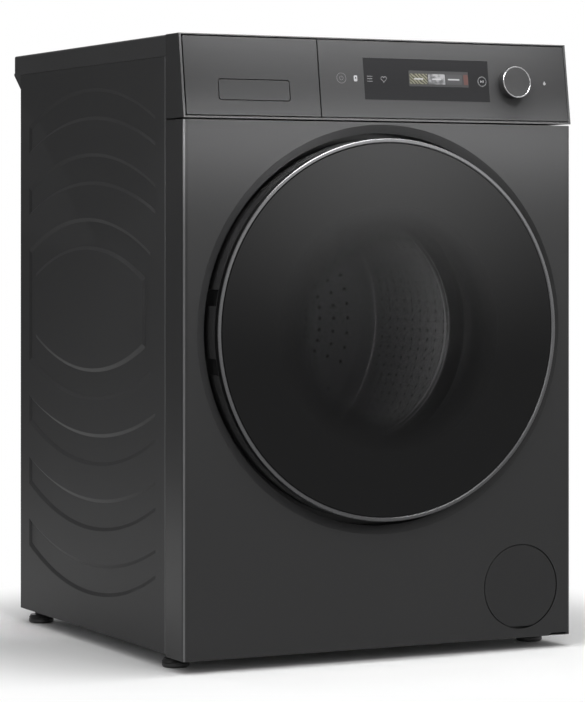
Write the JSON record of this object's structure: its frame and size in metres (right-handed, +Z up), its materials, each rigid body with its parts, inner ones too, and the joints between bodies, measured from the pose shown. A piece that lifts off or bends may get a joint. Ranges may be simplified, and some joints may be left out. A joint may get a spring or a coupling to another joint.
{
  "type": "front load washing machine",
  "caption": "Freestanding front loading washing machine with a round glass porthole door, a leaning control fascia with a dial, a detergent drawer, a suspended tub and levelling feet.",
  "frame": {"origin": "on the floor, under the middle of the whole machine", "axes": "+Z up, -Y out of the door, +X to the right as seen from in front of the door"},
  "size_m": [0.6, 0.643, 0.85],
  "materials": {
    "sheet_steel_dark": "satin dark graphite powder coat",
    "sheet_steel_grey": "semi-gloss grey",
    "galvanised": "galvanised steel",
    "worktop_board": "laminated board, satin",
    "fascia_plastic": "satin graphite moulding",
    "trim_plastic": "satin metallic grey trim",
    "black_gloss": "gloss black",
    "black_matt": "matt black",
    "bezel_metal": "satin metallic ring",
    "tinted_glass": "smoke tinted, gloss",
    "clear_glass": "clear pressed glass",
    "rubber_grey": "moulded rubber",
    "rubber_black": "moulded rubber",
    "tub_plastic": "filled polypropylene, natural grey",
    "tray_plastic": "white moulding",
    "siphon_blue": "blue moulding",
    "stainless": "stainless sheet",
    "cast_aluminium": "die cast",
    "concrete": "cast concrete, matt",
    "steel_bar": "turned steel",
    "zinc_steel": "zinc plated",
    "circuit_green": "coated circuit board",
    "motor_steel": "laminated steel and windings"
  },
  "bodies": {
    "cabinet": {"side_panel_right": "sheet_steel_dark", "side_panel_left": "sheet_steel_dark", "front_panel": "sheet_steel_dark", "worktop": "worktop_board", "top_frame": "galvanised", "back_panel": "galvanised", "rear_service_cover": "galvanised", "panel_screws": "zinc_steel", "transit_caps": "black_matt", "base_frame": "galvanised", "door_hinge": "cast_aluminium", "door_lock": "black_matt", "fascia_frame": "trim_plastic", "control_fascia": "fascia_plastic", "display_glass": "black_gloss", "display_module": "black_matt", "control_board": "circuit_green", "dispenser_housing": "tray_plastic", "filter_frame": "black_matt", "drain_pump": "tub_plastic", "gasket": "rubber_grey", "suspension_springs": "steel_bar", "damper_cylinders": "tray_plastic", "internal_hoses": "rubber_black", "inlet_valve": "tray_plastic", "rear_fittings": "black_matt"},
    "door": {"door_bezel": "bezel_metal", "door_outer_glass": "tinted_glass", "door_outer_frame": "black_matt", "door_inner_frame": "black_matt", "door_bowl": "clear_glass", "door_hinge_pin": "steel_bar", "latch_hook": "zinc_steel"},
    "lock_bolt": {"lock_bolt": "steel_bar"},
    "drawer": {"drawer_front": "fascia_plastic", "drawer_tray": "tray_plastic", "siphon_cap": "siphon_blue"},
    "drawer_flap": {"drawer_flap": "fascia_plastic"},
    "dial_plunger": {"dial_shaft": "steel_bar"},
    "dial": {"dial_knob": "black_matt", "dial_ring": "bezel_metal"},
    "tub": {"tub_front": "tub_plastic", "tub_rear": "tub_plastic", "drum_bearings": "steel_bar", "counterweights": "concrete", "heater": "steel_bar", "stator": "motor_steel", "damper_rods": "black_matt"},
    "drum": {"drum_shell": "stainless", "drum_lifters": "tub_plastic", "drum_spider": "cast_aluminium", "drum_shaft": "steel_bar", "rotor": "motor_steel"},
    "filter_cover": {"filter_cover": "fascia_plastic"},
    "pump_filter": {"pump_filter": "black_matt"},
    "impeller": {"pump_impeller": "tray_plastic"},
    "foot_front_left": {"foot_front_left": "black_matt"},
    "foot_front_right": {"foot_front_right": "black_matt"},
    "foot_rear_left": {"foot_rear_left": "black_matt"},
    "foot_rear_right": {"foot_rear_right": "black_matt"}
  },
  "joints": [
    {"name": "door_swing", "type": "hinge", "parent": "cabinet", "child": "door", "pos_m": [-0.24, -0.3065, 0.452], "axis": [0, 0, -1], "range_deg": [0, 130]},
    {"name": "lock_bolt_slide", "type": "slide", "parent": "cabinet", "child": "lock_bolt", "axis": [-1, 0, 0], "range_m": [0, 0.007]},
    {"name": "drawer_slide", "type": "slide", "parent": "cabinet", "child": "drawer", "axis": [0, -1, 0], "range_m": [0, 0.2]},
    {"name": "drawer_flap_push", "type": "hinge", "parent": "drawer", "child": "drawer_flap", "pos_m": [-0.1935, -0.29004, 0.78738], "axis": [1, 0, 0], "range_deg": [0, 40], "stiffness_Nm_per_rad": 0.05, "springref_deg": -11.46},
    {"name": "dial_press", "type": "slide", "parent": "cabinet", "child": "dial_plunger", "axis": [0, 0.9897, -0.1432], "range_m": [0, 0.0015], "stiffness_N_per_m": 1500, "springref_m": -0.0008},
    {"name": "dial_turn", "type": "hinge", "parent": "dial_plunger", "child": "dial", "pos_m": [0.207, -0.29877, 0.7934], "axis": [0, 0.9897, -0.1432], "continuous": true},
    {"name": "tub_float", "type": "slide", "parent": "cabinet", "child": "tub", "axis": [0, 0, 1], "range_m": [-0.01, 0.01], "stiffness_N_per_m": 8000, "springref_m": 0.0488, "deforming": ["suspension_springs", "gasket", "internal_hoses"]},
    {"name": "drum_spin", "type": "hinge", "parent": "tub", "child": "drum", "pos_m": [0, 0, 0.452], "axis": [0, 1, 0], "continuous": true},
    {"name": "filter_cover_pull", "type": "slide", "parent": "cabinet", "child": "filter_cover", "axis": [0, -1, 0], "range_m": [0, 0.06]},
    {"name": "filter_turn", "type": "hinge", "parent": "cabinet", "child": "pump_filter", "pos_m": [0.218, -0.2385, 0.0888], "axis": [0, -1, 0], "range_deg": [0, 90]},
    {"name": "impeller_spin", "type": "hinge", "parent": "cabinet", "child": "impeller", "pos_m": [0.218, -0.1585, 0.0888], "axis": [0, 1, 0], "continuous": true},
    {"name": "foot_front_left_turn", "type": "hinge", "parent": "cabinet", "child": "foot_front_left", "pos_m": [-0.2775, -0.2225, 0.02], "axis": [0, 0, 1], "continuous": true},
    {"name": "foot_front_right_turn", "type": "hinge", "parent": "cabinet", "child": "foot_front_right", "pos_m": [0.2775, -0.2225, 0.02], "axis": [0, 0, 1], "continuous": true},
    {"name": "foot_rear_left_turn", "type": "hinge", "parent": "cabinet", "child": "foot_rear_left", "pos_m": [-0.2775, 0.2675, 0.02], "axis": [0, 0, 1], "continuous": true},
    {"name": "foot_rear_right_turn", "type": "hinge", "parent": "cabinet", "child": "foot_rear_right", "pos_m": [0.2775, 0.2675, 0.02], "axis": [0, 0, 1], "continuous": true}
  ]
}
